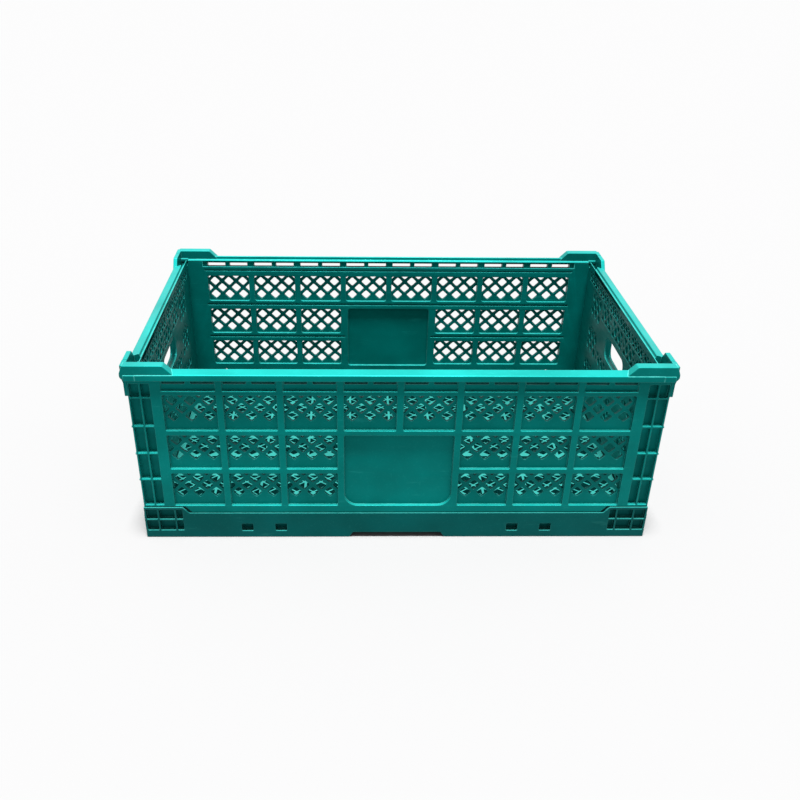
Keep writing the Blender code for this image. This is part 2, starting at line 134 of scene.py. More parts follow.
LABEL_TOP = 135.1
LABEL_RADIUS = 15.0
LABEL_BACK = (-59.0, 59.0, 48.0, 137.0)
EAVES_CELL = (190.2, 202.0)
EAVES_BEAD = (189.0, 190.5)
EAVES_BEAD_W = (1.2, 5.0)
VENT_ENDS = (3.0, 28.0)
VENT = (198.6, 203.6)
VENT_OUTER = (197.6, 202.8)
INNER_BAND = (198.6, 206.0)
INNER_BAND_HALF = 264.0
INNER_TOP = 206.6
GROOVE_ENDS = (LABEL_HALF + 1.25, 262.0)
GROOVE = (1.0, 3.6)
UPPER_GROOVE = (2.2, 4.2)
POST_LEDGES = (43.8, 78.8, 112.8, 147.0, 182.3)
POST_LEDGE_THICKNESS = 2.0
POST_TOP = 200.0
POST_CELLS = ((270.5, 280.0), (282.0, 292.5))
POST_RIB = (292.8, 295.3)
POST_RIB_W = (4.0, 13.0)

# ---- End walls: layers in w overlap, from the outer face to the inner one ----
END_LUG_W = (1.2, 6.5)
END_LOWER_BAND = (188.0, 197.0)
END_LOWER_BAND_W = (3.5, 6.4)
END_UPPER_BAND = (195.5, WALL_TOP)
END_CORNER_BAND = (195.0, 205.0)
END_BAND_W = (3.6, 6.4)
END_SKIN = (6.0, 9.5)
END_WEB = (9.2, 14.9)
END_INNER = (14.0, 15.0)
END_BACK = END_INNER[1]
END_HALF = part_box("right_end_wall")[1].y / MM
END_TOP_HALF = END_HALF - 4.0
END_RIM_HALF = 150.0
END_BOTTOM = 31.7
END_SKIN_TOP = 196.8
END_SHOULDER = 201.3
END_INNER_TOP = RIM_TOP - 0.3
END_COLUMNS = 5
END_PITCH = 57.0
END_CELL_HALF = (END_PITCH - BAR) / 2
END_EAVES = (188.4, 201.4)
END_EAVES_HALF = 26.0
HAND_HALF = 45.0
HAND_LOW = 126.0
HAND_HIGH = 156.0
HAND_RADIUS = 13.0
HAND_FRAME = 8.0
LEG_HALF = 144.0
LEG = (18.0, 33.0)
LEG_BRIDGE = (25.0, 33.0)
LEG_BRIDGE_W = (7.1, 14.9)
LEG_OUTER_CHEEK = (7.1, 8.6)
LEG_INNER_CHEEK = (13.4, 14.95)

# ---- Tray: layers of a long side in w overlap, from the outer face to the inner one ----
SIDE_SKIN = (2.0, 3.35)
SIDE_CELLS = (3.1, 8.1)
SIDE_SLOTS = (8.0, 9.2)
SIDE_BED = (9.1, 12.0)
SIDE_LEDGE = (11.9, 15.4)
SIDE_END = tray_corner.x - 0.6
SIDE_BED_TOP = 30.0
TRAY_RIM = 33.5
BLOCK_TOP = tray_corner.z
BLOCK_STEP = (243.0, 250.0)
BLOCK_CELLS_U = ((250.5, 258.0), (260.0, 278.0), (280.0, 293.0))
BLOCK_CELLS_V = ((9.5, 23.0), (25.0, 38.0))
SLOTS_U = (136.5, 176.0)
SLOTS_V = (8.5, 18.5)
SLOT_HALF = 6.75
ARCH_FOOT = 56.0
ARCH_HEAD = 52.0
ARCH_HEIGHT = 6.3
SILL_SKIN = (4.5, 5.6)
SILL_BACK = (5.4, 6.7)
SILL_END = tray_corner.y - 0.6
SILL_TOP = 31.0
SILL_DIP = 27.0
SILL_DIP_ENDS = (24.5, 26.0)
SILL_PANELS = 6
SILL_PANEL_PITCH = 62.0
SILL_PANEL_HALF = 26.0
SILL_PANELS_V = (5.0, 22.0)
LONG_EAR_ROOT = 27.0
END_EAR_ROOT = 10.0
FLOOR = (2.0, 12.0)
FLOOR_RIBS = (0.0, 2.4)
FLOOR_RIB_HALF = 1.6
FLOOR_END = tray_corner.x - 1.6
FLOOR_HALF_Y = 185.0
FLOOR_CELLS_X = 10
FLOOR_CELLS_Y = 7
FLOOR_PITCH_X = 560.0 / FLOOR_CELLS_X
FLOOR_PITCH_Y = 352.0 / FLOOR_CELLS_Y
FLOOR_PANEL = (26.4, 23.6)


# ---- Outlines ----

def rectangle(u0, u1, v0, v1):
    return [(u0, v0), (u1, v0), (u1, v1), (u0, v1)]


def soften(points, radius, steps=3):
    """Round every corner of an outline."""
    out = []
    count = len(points)
    for i, point in enumerate(points):
        corner = Vector(point)
        before = Vector(points[i - 1]) - corner
        after = Vector(points[(i + 1) % count]) - corner
        reach = min(radius, 0.45 * before.length, 0.45 * after.length)
        start = corner + before.normalized() * reach
        end = corner + after.normalized() * reach
        for step in range(steps + 1):
            t = step / steps
            out.append(tuple(start * (1 - t) ** 2 + corner * 2 * t * (1 - t) + end * t * t))
    return out


def rounded(u0, u1, v0, v1, radius, steps=3):
    return soften(rectangle(u0, u1, v0, v1), radius, steps)


def arc(centre, radius, first, last, steps):
    angles = [first + (last - first) * i / steps for i in range(steps + 1)]
    return [(centre[0] + radius * cos(angle), centre[1] + radius * sin(angle)) for angle in angles]


def circle(centre, radius, sides=20):
    return arc(centre, radius, 0.0, 2 * pi, sides)[:-1]


def mirrored(points, side):
    return [(side * a, b) for a, b in points]


def span(middle, side, inner, outer):
    """Both ends of a stretch on one side of a middle, the lower one first."""
    return sorted((middle + side * inner, middle + side * outer))


def columns(count, pitch):
    """Middles of a row of equal columns."""
    return [(i - (count - 1) / 2) * pitch for i in range(count)]


def between_ears(half, ears):
    """Stretches along a wall's foot that the bearing ears leave free."""
    ends = [-half]
    for ear in ears:
        ends += [ear - EAR_HALF - EAR_PLAY, ear + EAR_HALF + EAR_PLAY]
    ends.append(half)
    return list(zip(ends[::2], ends[1::2]))


def clip(points, index, limit, keep_below):
    """Cut a convex outline with a line across one axis."""
    sign = 1 if keep_below else -1
    out = []
    for i, point in enumerate(points):
        last = points[i - 1]
        here = sign * (limit - point[index])
        there = sign * (limit - last[index])
        if here * there < 0:
            share = there / (there - here)
            out.append(tuple(a + (b - a) * share for a, b in zip(last, point)))
        if here >= 0:
            out.append(point)
    return out


def area(points):
    return abs(sum(points[i - 1][0] * points[i][1] - points[i][0] * points[i - 1][1]
                   for i in range(len(points)))) / 2


def diamonds(u0, u1, v0, v1, mesh):
    """Openings of a diamond mesh that fills a rectangle, cut at its border.

    A row whose middle lies below the rectangle is left out.
    """
    step_u, step_v, half_u, half_v, radius = mesh
    mid_u, mid_v = (u0 + u1) / 2, (v0 + v1) / 2
    reach_u = int((u1 - u0) / 2 / step_u) + 1
    reach_v = int((v1 - v0) / 2 / step_v) + 1
    borders = ((0, u1, True), (0, u0, False), (1, v1, True), (1, v0, False))
    holes = []
    for i in range(-reach_u, reach_u + 1):
        for j in range(-reach_v, reach_v + 1):
            u, v = mid_u + i * step_u, mid_v + j * step_v
            if (i + j) % 2 == 0 or v < v0:
                continue
            hole = [(u + half_u, v), (u, v + half_v), (u - half_u, v), (u, v - half_v)]
            for index, limit, below in borders:
                hole = clip(hole, index, limit, below)
                if len(hole) < 3:
                    break
            if len(hole) >= 3 and area(hole) > SMALLEST_OPENING:
                holes.append(soften(hole, radius, 2))
    return holes


# ---- Plates ----

AXES = {"w": Matrix(((1, 0, 0, 0), (0, 1, 0, 0), (0, 0, 1, 0), (0, 0, 0, 1))),
        "v": Matrix(((1, 0, 0, 0), (0, 0, 1, 0), (0, 1, 0, 0), (0, 0, 0, 1))),
        "u": Matrix(((0, 0, 1, 0), (0, 1, 0, 0), (1, 0, 0, 0), (0, 0, 0, 1)))}


def plate(shape, axis, outline, low, high, holes=(), edge=0.4, smooth=1, stand=None):
    """Add a flat plate with softened edges: an outline, with holes, from low to high on an axis.

    The outline is (u, v) for axis w, (u, w) for axis v and (w, v) for axis u.
    """
    curve = bpy.data.curves.new("plate", "CURVE")
    curve.dimensions = "2D"
    curve.fill_mode = "BOTH"
    curve.extrude = (high - low) / 2 - edge
    curve.bevel_depth = edge
    curve.bevel_resolution = smooth
    curve.offset = -edge
    for points in [outline, *holes]:
        spline = curve.splines.new("POLY")
        spline.points.add(len(points) - 1)
        for target, (a, b) in zip(spline.points, points):
            target.co = (a, b, 0, 1)
        spline.use_cyclic_u = True
    item = bpy.data.objects.new("plate", curve)
    mesh = bpy.data.meshes.new_from_object(item)
    bpy.data.objects.remove(item)
    bpy.data.curves.remove(curve)
    part = bmesh.new()
    part.from_mesh(mesh)
    bmesh.ops.remove_doubles(part, verts=part.verts, dist=0.002)
    part.transform(Matrix.Translation((0, 0, (low + high) / 2)))
    part.transform(AXES[axis])
    if stand is not None:
        part.transform(stand)
    bmesh.ops.recalc_face_normals(part, faces=part.faces)
    part.to_mesh(mesh)
    part.free()
    shape.from_mesh(mesh)
    bpy.data.meshes.remove(mesh)


def stand_matrix(half, turn):
    """Stands a flat wall up with its outermost plane at half, on the side given by the turn."""
    upright = Matrix(((1, 0, 0, 0), (0, 0, 1, 0), (0, 1, 0, 0), (0, 0, 0, 1)))
    return Matrix.Rotation(turn, 4, "Z") @ Matrix.Translation((0, -half, 0)) @ upright


# ---- Long wall ----

def label_outline(grow=0.0):
    """The label panel, with small upper corners and large lower ones."""
    half = LABEL_HALF + grow
    low = FIRST_LEDGE - grow
    radius = LABEL_RADIUS + grow
    upper_corners = rounded(-half, half, low, LABEL_TOP + grow, 2.0)[8:]
    return (upper_corners + arc((radius - half, low + radius), radius, pi, 1.5 * pi, 8)
            + arc((half - radius, low + radius), radius, 1.5 * pi, 2 * pi, 8))


def window_ledges(u):
    """Heights of the ledges under a column's windows. The label takes the place of two."""
    first_row = 2 if abs(u) < LABEL_HALF else 0
    return [FIRST_LEDGE + row * ROW_PITCH for row in range(first_row, ROWS)]


def long_cells(grow=0.0, eaves=False):
    """Recesses on the outer face: the window grid, the label, the eaves band and the posts."""
    cells = [label_outline(grow)]
    half = CELL_HALF + grow
    for u in columns(COLUMNS, COLUMN_PITCH):
        for ledge in window_ledges(u):
            high = ledge + CELL_HEIGHT
            cells.append(rounded(u - half, u + half, ledge - grow, high + grow, 1.5, 2))
        if eaves:
            cells.append(rounded(u - half, u + half, *EAVES_CELL, 1.0, 2))
    painted_top_light = POST_LEDGES[1:] + (POST_TOP,)
    for side in SIDES:
        for inner, outer in POST_CELLS:
            u0, u1 = span(0.0, side, inner - grow, outer + grow)
            for low, top in zip(POST_LEDGES, painted_top_light):
                high = top - POST_LEDGE_THICKNESS
                cells.append(rounded(u0, u1, low - grow, high + grow, 1.0, 2))
    return cells


def vent_spans():
    """Ends of the narrow slots under the rim, two for each column."""
    return [span(u, side, *VENT_ENDS) for u in columns(COLUMNS, COLUMN_PITCH) for side in SIDES]


def vent_holes(levels):
    return [rounded(u0, u1, *levels, 0.8, 2) for u0, u1 in vent_spans()]


def inner_grooves():
    """Shallow grooves on the inner face, above the windows of each row."""
    end = GROOVE_ENDS[1]
    stretches = [(ROWS - 1, -end, end, GROOVE), (ROWS, -end, end, UPPER_GROOVE)]
    stretches += [(1, *span(0.0, side, *GROOVE_ENDS), GROOVE) for side in SIDES]
    grooves = []
    for row, u0, u1, (low, high) in stretches:
        ledge = FIRST_LEDGE + row * ROW_PITCH
        grooves.append(rounded(u0, u1, ledge + low, ledge + high, 0.8, 2))
    return grooves


def long_wall_face(shape):
    """Outer skin with its recesses, and the body behind it."""
    step_in, step_out = CORNER_STEP
    skin = [(-LONG_HALF, WALL_TOP), (-LONG_HALF, LONG_CORNER_BOTTOM),
            (-step_out, LONG_CORNER_BOTTOM), (-step_in, LONG_BOTTOM), (step_in, LONG_BOTTOM),
            (step_out, LONG_CORNER_BOTTOM), (LONG_HALF, LONG_CORNER_BOTTOM), (LONG_HALF, WALL_TOP)]
    plate(shape, "w", soften(skin, 0.8, 2), *LONG_SKIN, long_cells(eaves=True), edge=0.55, smooth=2)
    half = LONG_HALF - 0.1
    body = rectangle(-half, half, LONG_CORNER_BOTTOM, WALL_TOP)
    plate(shape, "w", body, *LONG_BODY, long_cells(0.12) + vent_holes(VENT_OUTER), edge=0.0, smooth=0)


def long_wall_mesh(shape):
    """Diamond mesh with the vents, and the inner face whose windows frame it."""
    openings, windows = [], []
    for u in columns(COLUMNS, COLUMN_PITCH):
        for ledge in window_ledges(u):
            window = (u - CELL_HALF, u + CELL_HALF, ledge + MESH_LOW, ledge + MESH_HIGH)
            openings += diamonds(*window, LONG_MESH)
            windows.append(rounded(*window, 3.0, 3))
    web = rectangle(-LONG_WEB_HALF, LONG_WEB_HALF, LONG_CORNER_BOTTOM, WALL_TOP)
    plate(shape, "w", web, *LONG_WEB, openings + vent_holes(VENT), edge=0.3, smooth=0)
    windows.append(rounded(*LABEL_BACK, 4.0, 4))
    half = LONG_HALF - 0.1
    ribs = rectangle(-half, half, LONG_CORNER_BOTTOM, INNER_TOP)
    vent_pockets = [rectangle(u0, u1, *INNER_BAND) for u0, u1 in vent_spans()]
    plate(shape, "w", ribs, *LONG_RIBS, windows + vent_pockets, edge=0.0, smooth=0)
    inner = [(-half, LONG_CORNER_BOTTOM), (half, LONG_CORNER_BOTTOM), (half, INNER_TOP),
             (INNER_BAND_HALF, INNER_TOP), (INNER_BAND_HALF, INNER_BAND[0]),
             (-INNER_BAND_HALF, INNER_BAND[0]), (-INNER_BAND_HALF, INNER_TOP), (-half, INNER_TOP)]
    plate(shape, "w", inner, *LONG_INNER, windows + inner_grooves())


def long_wall_trim(shape):
    """Hinge rail, the beads under the eaves recesses, and the posts' ribs and heads."""
    for u0, u1 in between_ears(CORNER_STEP[0] - EAR_PLAY, LONG_EARS):
        rail = rounded(u0, u1, LONG_BOTTOM + 0.2, RAIL_TOP, 0.8)
        plate(shape, "w", rail, *RAIL_OUTER, edge=0.3, smooth=0)
        plate(shape, "w", rail, *RAIL_INNER)
    for u in columns(COLUMNS, COLUMN_PITCH):
        bead = rounded(u - CELL_HALF, u + CELL_HALF, *EAVES_BEAD_W, 0.6)
        plate(shape, "v", bead, *EAVES_BEAD)
    foot, top = POST_RIB[0], WALL_TOP
    head = [(foot, 183.5), (297.3, 183.5), (297.5, 184.5), (297.5, 199.0), (299.0, top), (foot, top)]
    for side in SIDES:
        rib = rounded(*span(0.0, side, *POST_RIB), *POST_RIB_W, 0.6)
        for ledge in POST_LEDGES[1:-1]:
            plate(shape, "v", rib, ledge - POST_LEDGE_THICKNESS, ledge, edge=0.3)
        post_head = soften(mirrored(head, side), 0.6, 2)
        plate(shape, "w", post_head, LONG_SKIN[0], LONG_BACK, edge=0.5)


def long_wall_rim(shape):
    """Rim whose top falls to the outside, its plain ends, and the stacking lugs."""
    profile = [(0.0, RIM_FLANGE), (0.0, RIM_TOP - 0.6), (0.8, RIM_TOP + 0.2), (10.4, RIM_CREST),
               (11.4, RIM_CREST - 0.4), (11.8, 208.4), (LONG_BACK, 207.6),
               (LONG_BACK, INNER_BAND[1]), (12.0, INNER_BAND[1]),
               (12.0, 203.4), (4.2, 203.2), (4.2, RIM_FLANGE)]
    plate(shape, "u", soften(profile, 0.7, 3), -LONG_RIM_HALF, LONG_RIM_HALF, edge=0.3)
    end = [(0.0, RIM_FLANGE), (0.0, RIM_TOP - 0.8), (0.8, RIM_TOP), (LONG_BACK, RIM_TOP),
           (LONG_BACK, RIM_FLANGE)]
    lug = [(243.0, WALL_TOP), (243.0, 209.6), (253.5, TOP), (296.4, TOP), (HALF_LENGTH, 211.0),
           (HALF_LENGTH, 206.5), (297.4, 203.6)]
    for side in SIDES:
        plate(shape, "u", soften(end, 0.7, 3), *span(0.0, side, *LONG_RIM_END), edge=0.3)
        plate(shape, "w", soften(mirrored(lug, side), 1.6, 4), *LUG_W, edge=0.8, smooth=2)
        tower = rounded(*span(0.0, side, *LUG_TOWER), *LUG_TOWER_W, 1.0)
        plate(shape, "v", tower, WALL_TOP, LUG_TOP, edge=0.6, smooth=2)


def long_wall_shape():
    shape = bmesh.new()
    long_wall_face(shape)
    long_wall_mesh(shape)
    long_wall_trim(shape)
    long_wall_rim(shape)
    return shape


# ---- End wall ----

def end_cell_rows(u, low_offset, high_offset):
    """Low and high edge of each recess of a column, shortened beside the hand hole."""
    rows = []
    beside = abs(u) - END_CELL_HALF < HAND_HALF + HAND_FRAME
    frame_low, frame_high = HAND_LOW - HAND_FRAME, HAND_HIGH + HAND_FRAME
    for row in range(ROWS):
        low = FIRST_LEDGE + row * ROW_PITCH + low_offset
        high = FIRST_LEDGE + row * ROW_PITCH + high_offset
        if beside and low < frame_low < high:
            high = frame_low
        if beside and low < frame_high < high:
            low = frame_high
        rows.append((low, high))
    return rows


def hand_hole(grow=0.0):
    half = HAND_HALF + grow
    return rounded(-half, half, HAND_LOW - grow, HAND_HIGH + grow, HAND_RADIUS, 6)


def end_wall_panel(shape):
    """Outer skin with its recesses, the diamond mesh, and the inner face with its windows."""
    cells, openings, windows = [], [], []
    for u in columns(END_COLUMNS, END_PITCH):
        u0, u1 = u - END_CELL_HALF, u + END_CELL_HALF
        for low, high in end_cell_rows(u, 0.0, CELL_HEIGHT):
            cells.append(rounded(u0, u1, low, high, 1.5, 2))
        for low, high in end_cell_rows(u, MESH_LOW, MESH_HIGH):
            openings += diamonds(u0, u1, low, high, END_MESH)
            windows.append(rounded(u0, u1, low, high, 2.5, 3))
    for u in columns(END_COLUMNS + 1, END_PITCH):
        window = (u - END_EAVES_HALF, u + END_EAVES_HALF, *END_EAVES)
        openings += diamonds(*window, EAVES_MESH)
        windows.append(rounded(*window, 1.5, 2))
    skin = rounded(-END_HALF, END_HALF, END_BOTTOM, END_SKIN_TOP, 0.8, 2)
    plate(shape, "w", skin, *END_SKIN, cells + [hand_hole()], edge=0.5, smooth=2)
    half = END_TOP_HALF - 0.3
    web = rectangle(-half, half, END_BOTTOM + 0.3, WALL_TOP - 1.0)
    plate(shape, "w", web, *END_WEB, openings + [hand_hole(0.1)], edge=0.3, smooth=0)
    inner = [(-END_HALF, END_BOTTOM), (END_HALF, END_BOTTOM), (END_HALF, END_SHOULDER),
             (END_TOP_HALF, END_SHOULDER), (END_TOP_HALF, END_INNER_TOP),
             (-END_TOP_HALF, END_INNER_TOP), (-END_TOP_HALF, END_SHOULDER), (-END_HALF, END_SHOULDER)]
    plate(shape, "w", inner, *END_INNER, windows + [hand_hole()], edge=0.25)


def end_wall_rim(shape):
    """Bands under the rim, the rim, and the inner sides of the stacking lugs."""
    half = END_TOP_HALF - 0.2
    plate(shape, "w", rounded(-half, half, *END_LOWER_BAND, 0.8), *END_LOWER_BAND_W, edge=0.5)
    half = END_RIM_HALF - 0.2
    plate(shape, "w", rounded(-half, half, *END_UPPER_BAND, 0.5), *END_BAND_W)
    profile = [(2.0, RIM_FLANGE), (2.0, RIM_TOP - 0.8), (2.8, RIM_TOP + 0.1), (11.6, RIM_CREST),
               (12.6, RIM_CREST - 0.4), (13.0, 209.6), (END_BACK, 208.6), (END_BACK, RIM_FLANGE)]
    plate(shape, "u", soften(profile, 0.8, 3), -END_RIM_HALF, END_RIM_HALF, edge=0.3)
    lug = [(END_RIM_HALF - 4.0, WALL_TOP), (END_RIM_HALF - 1.5, 209.0),
           (END_RIM_HALF + 8.0, LUG_TOP), (END_TOP_HALF, LUG_TOP), (END_TOP_HALF, WALL_TOP)]
    for side in SIDES:
        plate(shape, "w", soften(mirrored(lug, side), 1.2, 3), *END_LUG_W, edge=0.6, smooth=2)
        u0, u1 = span(0.0, side, END_RIM_HALF - 2.0, END_TOP_HALF)
        plate(shape, "w", rounded(u0, u1, *END_CORNER_BAND, 0.5), *END_BAND_W, edge=0.3)


def end_wall_leg(shape):
    """Leg that reaches down behind the tray's sill and grips the hinge rod."""
    barrel = (arc(END_ROD, EAR_RADIUS, pi, 2 * pi, 10)
              + arc(END_ROD, LEG_BORE_RADIUS, 0.0, -pi, 10))
    for u0, u1 in between_ears(LEG_HALF, END_EARS):
        cheek = rounded(u0, u1, *LEG, 0.6)
        plate(shape, "w", cheek, *LEG_INNER_CHEEK, edge=0.3)
        plate(shape, "w", cheek, *LEG_OUTER_CHEEK, edge=0.3)
        plate(shape, "u", barrel, u0, u1, edge=0.2, smooth=0)
    bridge = rectangle(-LEG_HALF, LEG_HALF, *LEG_BRIDGE)
    plate(shape, "w", bridge, *LEG_BRIDGE_W, edge=0.3)


def end_wall_shape():
    shape = bmesh.new()
    end_wall_panel(shape)
    end_wall_rim(shape)
    end_wall_leg(shape)
    return shape


# ---- Tray ----

def block_cells(grow=0.0):
    """Recesses of the raised corner blocks."""
    return [rounded(*span(0.0, side, inner - grow, outer + grow), low - grow, high + grow, 1.0, 2)
            for side in SIDES for inner, outer in BLOCK_CELLS_U for low, high in BLOCK_CELLS_V]


def side_slots(grow=0.0):
    half = SLOT_HALF + grow
    return [rounded(u - half, u + half, SLOTS_V[0] - grow, SLOTS_V[1] + grow, 1.2, 2)
            for middle in SLOTS_U for u in (middle, -middle)]


def side_outline(top_line):
    """Outline of a long side: the low arch in the middle of its foot, and a given top."""
    return [(-SIDE_END, 0.0), (-ARCH_FOOT, 0.0), (-ARCH_HEAD, ARCH_HEIGHT),
            (ARCH_HEAD, ARCH_HEIGHT), (ARCH_FOOT, 0.0), (SIDE_END, 0.0)] + top_line


def bearing_ears(shape, rod, root, places, stand):
    """Ears with a bore for a hinge rod, standing on the tray from a root height."""
    ear = arc(rod, EAR_RADIUS, 0.0, pi, 12)
    ear += [(rod[0] - EAR_RADIUS, root), (rod[0] + EAR_RADIUS, root)]
    bore = circle(rod, BORE_RADIUS)
    for u in places:
        plate(shape, "u", ear, u - EAR_HALF, u + EAR_HALF, [bore], edge=0.3, stand=stand)


def tray_long_side(shape, stand):
    step_in, step_out = BLOCK_STEP
    skin = side_outline([(SIDE_END, BLOCK_TOP), (step_out, BLOCK_TOP), (step_in, TRAY_RIM),
                         (-step_in, TRAY_RIM), (-step_out, BLOCK_TOP), (-SIDE_END, BLOCK_TOP)])
    holes = block_cells() + side_slots()
    plate(shape, "w", soften(skin, 0.8, 2), *SIDE_SKIN, holes, edge=0.45, smooth=2, stand=stand)
    block_in, block_top, bed_top = step_in + 0.2, BLOCK_TOP - 0.1, SIDE_BED_TOP
    blocks = side_outline([(SIDE_END, block_top), (step_out, block_top), (block_in, TRAY_RIM),
                           (block_in, bed_top), (-block_in, bed_top), (-block_in, TRAY_RIM),
                           (-step_out, block_top), (-SIDE_END, block_top)])
    holes = block_cells(0.1) + side_slots(0.1)
    plate(shape, "w", blocks, *SIDE_CELLS, holes, edge=0.0, smooth=0, stand=stand)
    plate(shape, "w", blocks, *SIDE_SLOTS, side_slots(0.2), edge=0.0, smooth=0, stand=stand)
    bed = side_outline([(SIDE_END, bed_top), (-SIDE_END, bed_top)])
    plate(shape, "w", bed, *SIDE_BED, edge=0.0, smooth=0, stand=stand)
    half = SIDE_END - 0.4
    ledge = rectangle(-half, half, 1.0, bed_top - 0.1)
    plate(shape, "w", ledge, *SIDE_LEDGE, edge=0.3, stand=stand)
    bearing_ears(shape, LONG_ROD, LONG_EAR_ROOT, LONG_EARS, stand)


def tray_end_sill(shape, stand):
    """Sill with sunk panels, and a dip in the middle of its top."""
    dip_in, dip_out = SILL_DIP_ENDS
    sill = [(-SILL_END, 0.0), (SILL_END, 0.0), (SILL_END, SILL_TOP), (dip_out, SILL_TOP),
            (dip_in, SILL_DIP), (-dip_in, SILL_DIP), (-dip_out, SILL_TOP), (-SILL_END, SILL_TOP)]
    panels = [rounded(u - SILL_PANEL_HALF, u + SILL_PANEL_HALF, *SILL_PANELS_V, 2.0)
              for u in columns(SILL_PANELS, SILL_PANEL_PITCH)]
    plate(shape, "w", soften(sill, 0.8, 2), *SILL_SKIN, panels, stand=stand)
    plate(shape, "w", sill, *SILL_BACK, edge=0.3, stand=stand)
    bearing_ears(shape, END_ROD, END_EAR_ROOT, END_EARS, stand)


def tray_floor(shape):
    """Deep diamond mesh in a grid of solid strips, with a low rib under each strip."""
    middles = [(x, y) for x in columns(FLOOR_CELLS_X, FLOOR_PITCH_X)
               for y in columns(FLOOR_CELLS_Y, FLOOR_PITCH_Y)]
    half_x, half_y = FLOOR_PANEL
    openings = []
    for x, y in middles:
        openings += diamonds(x - half_x, x + half_x, y - half_y, y + half_y, FLOOR_MESH)
    floor = rectangle(-FLOOR_END, FLOOR_END, -FLOOR_HALF_Y, FLOOR_HALF_Y)
    plate(shape, "w", floor, *FLOOR, openings, edge=0.35, smooth=0)
    half_x, half_y = FLOOR_PITCH_X / 2 - FLOOR_RIB_HALF, FLOOR_PITCH_Y / 2 - FLOOR_RIB_HALF
    pockets = [rectangle(x - half_x, x + half_x, y - half_y, y + half_y) for x, y in middles]
    end, half = FLOOR_END - 0.1, FLOOR_HALF_Y + 1.0
    plate(shape, "w", rectangle(-end, end, -half, half), *FLOOR_RIBS, pockets, edge=0.3)


def tray_shape():
    shape = bmesh.new()
    for turn in (0.0, pi):
        tray_long_side(shape, stand_matrix(HALF_DEPTH, turn))
    for turn in (pi / 2, -pi / 2):
        tray_end_sill(shape, stand_matrix(HALF_LENGTH, turn))
    tray_floor(shape)
    return shape


# ---- Materials: colours are linear, lengths are in metres ----

# Each palette is deep, main and pale; the pale colour stands for wear in the speckle and scuffs, and
# for painted top light on upward faces.
WALL_COLOURS = ((0.0, 0.094, 0.084), (0.0, 0.126, 0.114), (0.02, 0.27, 0.25))
# The tray's palette is the walls' teal made darker: painted shade over the whole tray.
TRAY_COLOURS_PAINTED_SHADE = ((0.0, 0.038, 0.036), (0.0, 0.054, 0.052), (0.03, 0.20, 0.17))
# Pale edge colour: partly wear, partly a painted highlight.
EDGE_WEAR_AND_HIGHLIGHT_COLOUR = (0.07, 0.36, 0.33)
EDGE_WIDTH = 0.001
SHEEN_TINT = (0.02, 1.0, 0.95, 1.0)
DULL_STEEL = (0.42, 0.43, 0.43)
BRIGHT_STEEL = (0.66, 0.66, 0.64)


def node(tree, kind, inputs, **settings):
    """Add a shader node. Each input is given a value or another node's output."""
    item = tree.nodes.new(kind)
    for key, value in settings.items():
        setattr(item, key, value)
    for key, value in inputs.items():
        if isinstance(value, bpy.types.NodeSocket):
            tree.links.new(value, item.inputs[key])
        else:
            item.inputs[key].default_value = value
    return item


def noise(tree, coordinates, scale, detail, roughness=0.5, stretch=None):
    source = coordinates
    if stretch:
        mapping = node(tree, "ShaderNodeMapping", {"Vector": coordinates, "Scale": stretch})
        source = mapping.outputs["Vector"]
    inputs = {"Vector": source, "Scale": scale, "Detail": detail, "Roughness": roughness}
    return node(tree, "ShaderNodeTexNoise", inputs).outputs["Fac"]


def remap(tree, value, from_low, from_high, to_low, to_high):
    inputs = {"Value": value, "From Min": from_low, "From Max": from_high,
              "To Min": to_low, "To Max": to_high}
    return node(tree, "ShaderNodeMapRange", inputs).outputs["Result"]


def multiply(tree, first, second):
    return node(tree, "ShaderNodeMath", {0: first, 1: second}, operation="MULTIPLY").outputs[0]


def mix(tree, share, first, second):
    """Mix two colours, each a colour or the output of a node."""
    item = node(tree, "ShaderNodeMix", {"Factor": share}, data_type="RGBA")
    for name, value in (("A", first), ("B", second)):
        target = [i for i in item.inputs if i.name == name and i.type == "RGBA"][0]
        if isinstance(value, tuple):
            target.default_value = (*value, 1.0)
        else:
            tree.links.new(value, target)
    return [o for o in item.outputs if o.type == "RGBA"][0]


def bump(tree, height, strength, distance, base=None):
    """Normal of a surface that a height raises, over another bump's normal where there is one."""
    inputs = {"Height": height, "Strength": strength, "Distance": distance}
    if base is not None:
        inputs["Normal"] = base
    return node(tree, "ShaderNodeBump", inputs).outputs["Normal"]


def edge_wear_and_highlight(tree, coordinates):
    """Share of pale along the sharp edges, broken up by noise: partly wear, partly a painted
    highlight.
    """
    softened = node(tree, "ShaderNodeBevel", {"Radius": EDGE_WIDTH}, samples=6).outputs["Normal"]
    plain = node(tree, "ShaderNodeNewGeometry", {}).outputs["Normal"]
    flatness = node(tree, "ShaderNodeVectorMath", {0: softened, 1: plain}, operation="DOT_PRODUCT")
    return multiply(tree, remap(tree, flatness.outputs["Value"], 0.995, 0.88, 0.0, 0.6),
                    remap(tree, noise(tree, coordinates, 90.0, 3.0), 0.35, 0.6, 0.35, 1.0))


